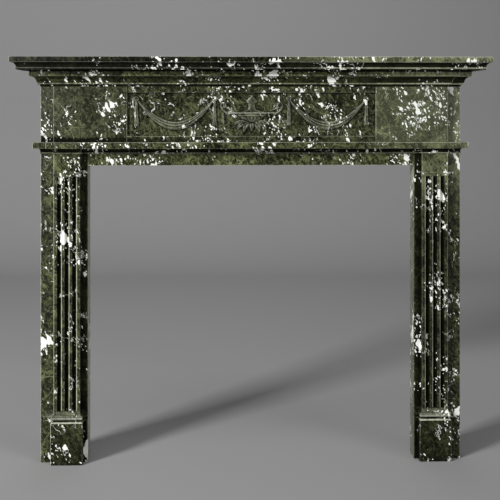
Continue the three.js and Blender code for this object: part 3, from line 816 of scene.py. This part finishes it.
def closed_slab(grid):
    """Faces of a grid over a front face, its four sides and its flat back. The border's points are
    repeated on the wall plane, in the same order."""
    rows, columns = grid.shape[:2]
    index = np.arange(rows * columns).reshape(rows, columns)
    quads = np.stack([index[:-1, :-1], index[:-1, 1:], index[1:, 1:], index[1:, :-1]], axis=-1)
    border = np.concatenate([index[0, :-1], index[:-1, -1], index[-1, :0:-1], index[:0:-1, 0]])
    points = grid.reshape(-1, 3)
    back = points[border].copy()
    back[:, 1] = WALL_Y
    behind = len(points) + np.arange(len(border))
    after = np.roll(border, -1)
    behind_after = np.roll(behind, -1)
    sides = np.stack([after, border, behind, behind_after], axis=-1)
    return np.concatenate([points, back]), [quads.reshape(-1, 4), sides, behind[::-1][None, :]]


def moulding(name, low):
    """Profile of one of the long mouldings from its underside up, as projection, height and mark:
    scuffing and painted highlight above zero, painted shade below it.
    """
    arris = bpy.context.scene.mantel_edges.arris
    if name == "cove":
        # The cove's quirks and hollow carry painted shade, and its bead a painted highlight.
        profile = np.concatenate([
            [[0.0005, 0.0, -0.4]], bead(0.0006, 0.004, 0.0034, 0.3), [[0.0010, 0.0050, -1.0]],
            cavetto(0.0010, 0.0078, 0.0054, 0.0176, 0.85), [[0.0080, 0.0190, -0.8]]])
    elif name == "fascia":
        profile = fillet(IMPOST_HIGH[0] - OUTER_HALF, 0.018, IMPOST_HIGH[2] - IMPOST_LOW[2], arris, 0.4)
    elif name == "bed":
        out, top = BED_HIGH[0] - OUTER_HALF, BED_HIGH[2] - BED_LOW[2]
        # The bed moulding's quirks and hollow carry painted shade, and the top of its fillet a painted
        # shadow under the shelf; its bead and lower arris are scuffed and lit with painted highlights.
        profile = np.concatenate([
            [[0.0022, 0.0, -0.8], [0.0022, 0.0052, -1.0]], bead(0.006, 0.006, 0.010, 0.28),
            [[0.0088, 0.0124, -1.0]], cavetto(0.0118, 0.0290, 0.0130, 0.0318, 0.68),
            fillet(out, 0.0322, top, arris, 0.4)[:4],
            [[out, top - 0.0060, 0.0], [out, top - 0.0040, -1.0], [out - 0.4 * arris, top, -1.0]]])
    else:
        # The shelf's underside, quirks and hollow carry painted shade; its bead and fillet are scuffed
        # and lit with painted highlights.
        profile = np.concatenate([
            [[0.0620, 0.0, -1.0], [0.0620, 0.0018, -1.0]], bead(0.0020, 0.0055, 0.065, 0.22),
            [[0.0622, 0.0080, -0.8], [0.0622, 0.0092, -0.9]],
            cavetto(0.0636, 0.0768, 0.0096, 0.0222, 0.62),
            fillet(SHELF_HIGH[0] - OUTER_HALF, 0.0228, SHELF_HIGH[2] - SHELF_LOW[2], arris, 0.5)])
    return profile + np.array([0.0, low, 0.0])


class MANTEL_OT_legs(bpy.types.Operator):
    """Carve the two legs with their fluted pilasters"""

    bl_idname = "mantel.legs"
    bl_label = "Legs"

    def execute(self, context):
        # The right leg's cap is lightened with painted light, and its marks grow there.
        for name, side, place, lift, painted_light_on_cap in (
                ("left_leg", -1, (5.7, 5.1, 0.3), 1.08, 0.0),
                ("right_leg", 1, (2.2, 3.9, 5.1), 0.75, 0.35)):
            material = marble(name + "_marble", place, lift=lift, white=0.014,
                              fade=(2, 0.83, 0.93, painted_light_on_cap), yellow=0.1)
            stone(name + "_carved", [leg_rings(side)], "leg_marble", material, name)
        return {"FINISHED"}


class MANTEL_OT_lintel(bpy.types.Operator):
    """Cut the plain lintel over the opening"""

    bl_idname = "mantel.lintel"
    bl_label = "Lintel"

    def execute(self, context):
        arris = context.scene.mantel_edges.arris
        section = rounded(np.array([
            [STRIP_Y, LINTEL_LOW[2]], [WALL_Y, LINTEL_LOW[2]], [WALL_Y, LINTEL_HIGH[2]],
            [STRIP_Y, LINTEL_HIGH[2]]]), 1.3 * arris)
        ends = np.linspace(LINTEL_LOW[0], LINTEL_HIGH[0], 2)
        rings = np.stack([np.column_stack([np.full(len(section), x), section]) for x in ends])
        wear_and_painted_light = np.zeros(len(section))
        # The lower front arris is lightened in full and the upper front arris by half, as scuffing and
        # painted highlight.
        wear_and_painted_light[1:3] = 1.0
        wear_and_painted_light[-3:-1] = 0.5
        worn_and_painted_light = np.broadcast_to(wear_and_painted_light, rings.shape[:2])
        material = marble("lintel_marble", (6.3, 1.1, 3.9), lift=1.25, white=0.020, yellow=0.12)
        stone("lintel_dressed", [(rings, worn_and_painted_light)], "leg_marble", material, "lintel")
        return {"FINISHED"}


class MANTEL_OT_impost(bpy.types.Operator):
    """Run the impost moulding, which breaks forward over the pilasters"""

    bl_idname = "mantel.impost"
    bl_label = "Impost moulding"

    def execute(self, context):
        inner = pilaster_edges()[0]
        plan, push = front_plan()
        fascia = carried_up(plan, push, moulding("fascia", IMPOST_LOW[2]))
        between_legs = np.array([
            [-inner, FRONT_Y], [-inner, STRIP_Y], [inner, STRIP_Y], [inner, FRONT_Y]])
        pushes = np.array([[1, -1], [1, -1], [-1, -1], [-1, -1]], float)
        plan = np.insert(plan, 5, between_legs, axis=0)
        push = np.insert(push, 5, pushes, axis=0)
        cove = carried_up(plan, push, moulding("cove", IMPOST_LOW[2]), 0.8)
        # Towards the right the stone is lighter, and its painted highlights and painted shade stronger.
        material = marble("impost_marble", (2.9, 5.3, 0.7), lift=1.03, white=0.012,
                          fade=(0, 0.28, 0.55, 0.32), yellow=0.15)
        stone("impost_run", [cove, fascia], "moulding_marble", material, "impost_moulding")
        return {"FINISHED"}


class MANTEL_OT_frieze(bpy.types.Operator):
    """Carve the middle stone of the frieze with swags and an urn, and cut its two end stones"""

    bl_idname = "mantel.frieze"
    bl_label = "Frieze"

    def execute(self, context):
        grid, wear_and_painted_light = panel_surface()
        points, faces = closed_slab(grid)
        marks = {"wear_and_painted_light": np.append(wear_and_painted_light.ravel(), np.zeros(len(points) - wear_and_painted_light.size))}
        obj = mesh_object("frieze_carving", points, faces, marks)
        # The foot of the frieze's middle stone is darker, most at its left end.
        material = marble("frieze_marble", (0.9, 3.7, 2.4), lift=0.97, white=0.008, foot_darkening=0.9)
        dress(obj, "frieze_marble", material, "frieze_panel")
        ease = 0.6 * context.scene.mantel_edges.arris
        foot, top = END_LOW[2], END_HIGH[2]
        profile = np.array([
            [-ease, foot, 0.2], [0.0, foot + ease, 0.0], [0.0, top - ease, 0.0], [-ease, top, 0.2]])
        break_x = pilaster_edges()[1]
        plan = np.array([
            [OUTER_HALF, WALL_Y], [END_LOW[0], WALL_Y], [END_LOW[0], FRONT_Y], [break_x, FRONT_Y],
            [break_x, STRIP_Y], [OUTER_HALF, STRIP_Y]])
        push = np.array([[1, 0], [0, 0], [0, -1], [1, -1], [1, -1], [1, -1]], float)
        # lit_end lightens the right end block's set-back strip with painted light, and its marks grow
        # there.
        lit_end = (0, break_x - 0.004, break_x + 0.004, 0.35)
        for name, side, slot, place, lift, white, fade, veil, foot_darkening in (
                ("left_end_block", -1, "frieze_marble", (7.7, 0.9, 5.2), 0.93, 0.005, None, 0.15, 0.95),
                ("right_end_block", 1, "grey_marble", (3.2, 6.6, 1.4), 1.45, 0.024, lit_end, 0.55, 0.0)):
            block = carried_up(plan, push, profile)
            if side < 0:
                block = mirrored(*block)
            material = marble(name + "_marble", place, lift=lift, white=white, fade=fade, veil=veil,
                              foot_darkening=foot_darkening)
            stone(name + "_cut", [block], slot, material, name)
        return {"FINISHED"}


class MANTEL_OT_bed(bpy.types.Operator):
    """Run the bed moulding under the shelf"""

    bl_idname = "mantel.bed"
    bl_label = "Bed moulding"

    def execute(self, context):
        plan, push = front_plan()
        run = carried_up(plan, push, moulding("bed", BED_LOW[2]))
        # The bed moulding's ground is lifted, in part as painted light against the shade under the
        # shelf; towards the right it is lighter and its painted highlights and painted shade stronger.
        material = marble("bed_marble", (5.5, 4.4, 6.1), lift=1.5, white=0.012,
                          fade=(0, 0.28, 0.60, 0.60), yellow=0.15)
        stone("bed_run", [run], "moulding_marble", material, "bed_moulding")
        return {"FINISHED"}


class MANTEL_OT_shelf(bpy.types.Operator):
    """Cut the shelf with its moulded edge"""

    bl_idname = "mantel.shelf"
    bl_label = "Shelf"

    def execute(self, context):
        plan = np.array([
            [OUTER_HALF, WALL_Y], [-OUTER_HALF, WALL_Y], [-OUTER_HALF, FRONT_Y], [OUTER_HALF, FRONT_Y]])
        push = np.array([[1, 0], [-1, 0], [-1, -1], [1, -1]], float)
        slab = carried_up(plan, push, moulding("shelf", SHELF_LOW[2]))
        # Towards the right the stone is lighter, and its painted highlights and painted shade stronger.
        material = marble("shelf_marble", (8.8, 7.1, 2.3), lift=0.30, white=0.000,
                          fade=(0, 0.04, 0.40, 0.64), yellow=0.15)
        stone("shelf_slab", [slab], "shelf_marble", material, "shelf")
        return {"FINISHED"}


def area_light(name, place, aim, power, width, height):
    """A soft rectangular light that looks at a point."""
    data = bpy.data.lights.new(name, "AREA")
    data.shape = "RECTANGLE"
    data.size = width
    data.size_y = height
    data.energy = power
    light = bpy.data.objects.new(name, data)
    light.location = place
    away = np.array(place, float) - np.array(aim, float)
    flat = math.hypot(away[0], away[1])
    light.rotation_euler = (math.atan2(flat, away[2]), 0.0, math.atan2(away[0], -away[1]))
    bpy.context.scene.collection.objects.link(light)


def photo_camera(stage):
    """A camera that stands and looks as the photograph's did."""
    data = bpy.data.cameras.new("photo_camera")
    data.lens = stage.lens
    data.sensor_width = 36.0
    data.shift_x = stage.slide
    data.shift_y = stage.rise
    camera = bpy.data.objects.new("photo_camera", data)
    camera.location = (stage.side, STRIP_Y - stage.distance, stage.height)
    camera.rotation_euler = (math.pi / 2, 0.0, -stage.turn)
    bpy.context.scene.collection.objects.link(camera)
    bpy.context.scene.camera = camera


def floor_sweep(stage):
    """A floor that runs back and bends up: reach + bend sin(a), bend - bend cos(a), a from 0 to 90."""
    a = np.linspace(0, math.pi / 2, 24)
    near, reach, bend, tall, half = -8.0, 3.2, 1.2, 6.0, 9.0
    x = np.array([-half, half])
    y = np.concatenate([[near], reach + bend * np.sin(a), [reach + bend]])
    z = np.concatenate([[0.0], bend - bend * np.cos(a), [tall]])
    grid = np.stack(np.broadcast_arrays(x[None, :], y[:, None], z[:, None]), axis=-1)
    index = np.arange(grid.shape[0] * 2).reshape(-1, 2)
    quads = np.stack([index[:-1, 0], index[:-1, 1], index[1:, 1], index[1:, 0]], axis=-1)
    sweep = mesh_object("floor_sweep", grid.reshape(-1, 3), [quads], {})
    paper = bpy.data.materials.new("pale_paper")
    paper.use_nodes = True
    shader = paper.node_tree.nodes["Principled BSDF"]
    shader.inputs["Base Color"].default_value = (*stage.backdrop, 1.0)
    shader.inputs["Roughness"].default_value = 0.9
    sweep.data.materials.append(paper)


def studio_light():
    """Soft lights, the strongest from the left, and a faint even glow all round."""
    middle = (0.0, 0.0, 0.8)
    area_light("key_light", (-5.0, -4.2, 3.6), middle, 570.0, 1.2, 1.2)
    area_light("fill_light", (5.0, -4.4, 2.2), middle, 110.0, 2.4, 2.4)
    area_light("low_light", (-4.4, -4.8, 0.9), middle, 45.0, 2.0, 1.2)
    area_light("top_light", (0.0, -1.0, 3.6), middle, 26.0, 3.0, 1.0)
    area_light("back_light", (0.0, 3.0, 3.4), (0.0, 2.0, 0.8), 20.0, 3.0, 1.5)
    world = bpy.data.worlds.new("studio")
    world.use_nodes = True
    glow = world.node_tree.nodes["Background"].inputs
    glow["Color"].default_value = (0.9, 0.9, 0.9, 1.0)
    glow["Strength"].default_value = 0.13
    bpy.context.scene.world = world


class MANTEL_OT_stage(bpy.types.Operator):
    """Set the camera, the soft lights, the pale floor and the backdrop"""

    bl_idname = "mantel.stage"
    bl_label = "Stage"

    def execute(self, context):
        stage = context.scene.mantel_stage
        photo_camera(stage)
        floor_sweep(stage)
        studio_light()
        context.scene.view_settings.view_transform = "Standard"
        return {"FINISHED"}


class MANTEL_PT_panel(bpy.types.Panel):
    """Lists the mantel's sizes, colours and operators"""

    bl_idname = "MANTEL_PT_panel"
    bl_label = "Mantel"
    bl_space_type = "VIEW_3D"
    bl_region_type = "UI"
    bl_category = "Mantel"

    def draw(self, context):
        for label, group in SETTINGS.items():
            box = self.layout.box()
            box.label(text=label.replace("mantel_", "").capitalize())
            values = getattr(context.scene, label)
            for key in group.__annotations__:
                box.prop(values, key)
        for operator in OPERATORS:
            self.layout.operator(operator.bl_idname)


SETTINGS = {
    "mantel_pilaster": PilasterSettings,
    "mantel_edges": EdgeSettings,
    "mantel_carving": CarvingSettings,
    "mantel_marble": MarbleSettings,
    "mantel_stage": StageSettings,
}
OPERATORS = (
    MANTEL_OT_legs, MANTEL_OT_lintel, MANTEL_OT_impost, MANTEL_OT_frieze, MANTEL_OT_bed,
    MANTEL_OT_shelf, MANTEL_OT_stage,
)
CLASSES = (*SETTINGS.values(), *OPERATORS, MANTEL_PT_panel)


def register():
    for item in CLASSES:
        bpy.utils.register_class(item)
    for label, group in SETTINGS.items():
        setattr(bpy.types.Scene, label, bpy.props.PointerProperty(type=group))


def unregister():
    for label in SETTINGS:
        delattr(bpy.types.Scene, label)
    for item in reversed(CLASSES):
        bpy.utils.unregister_class(item)


def main():
    register()
    bpy.ops.mantel.legs()
    bpy.ops.mantel.lintel()
    bpy.ops.mantel.impost()
    bpy.ops.mantel.frieze()
    bpy.ops.mantel.bed()
    bpy.ops.mantel.shelf()
    bpy.ops.mantel.stage()


if __name__ == "__main__":
    main()
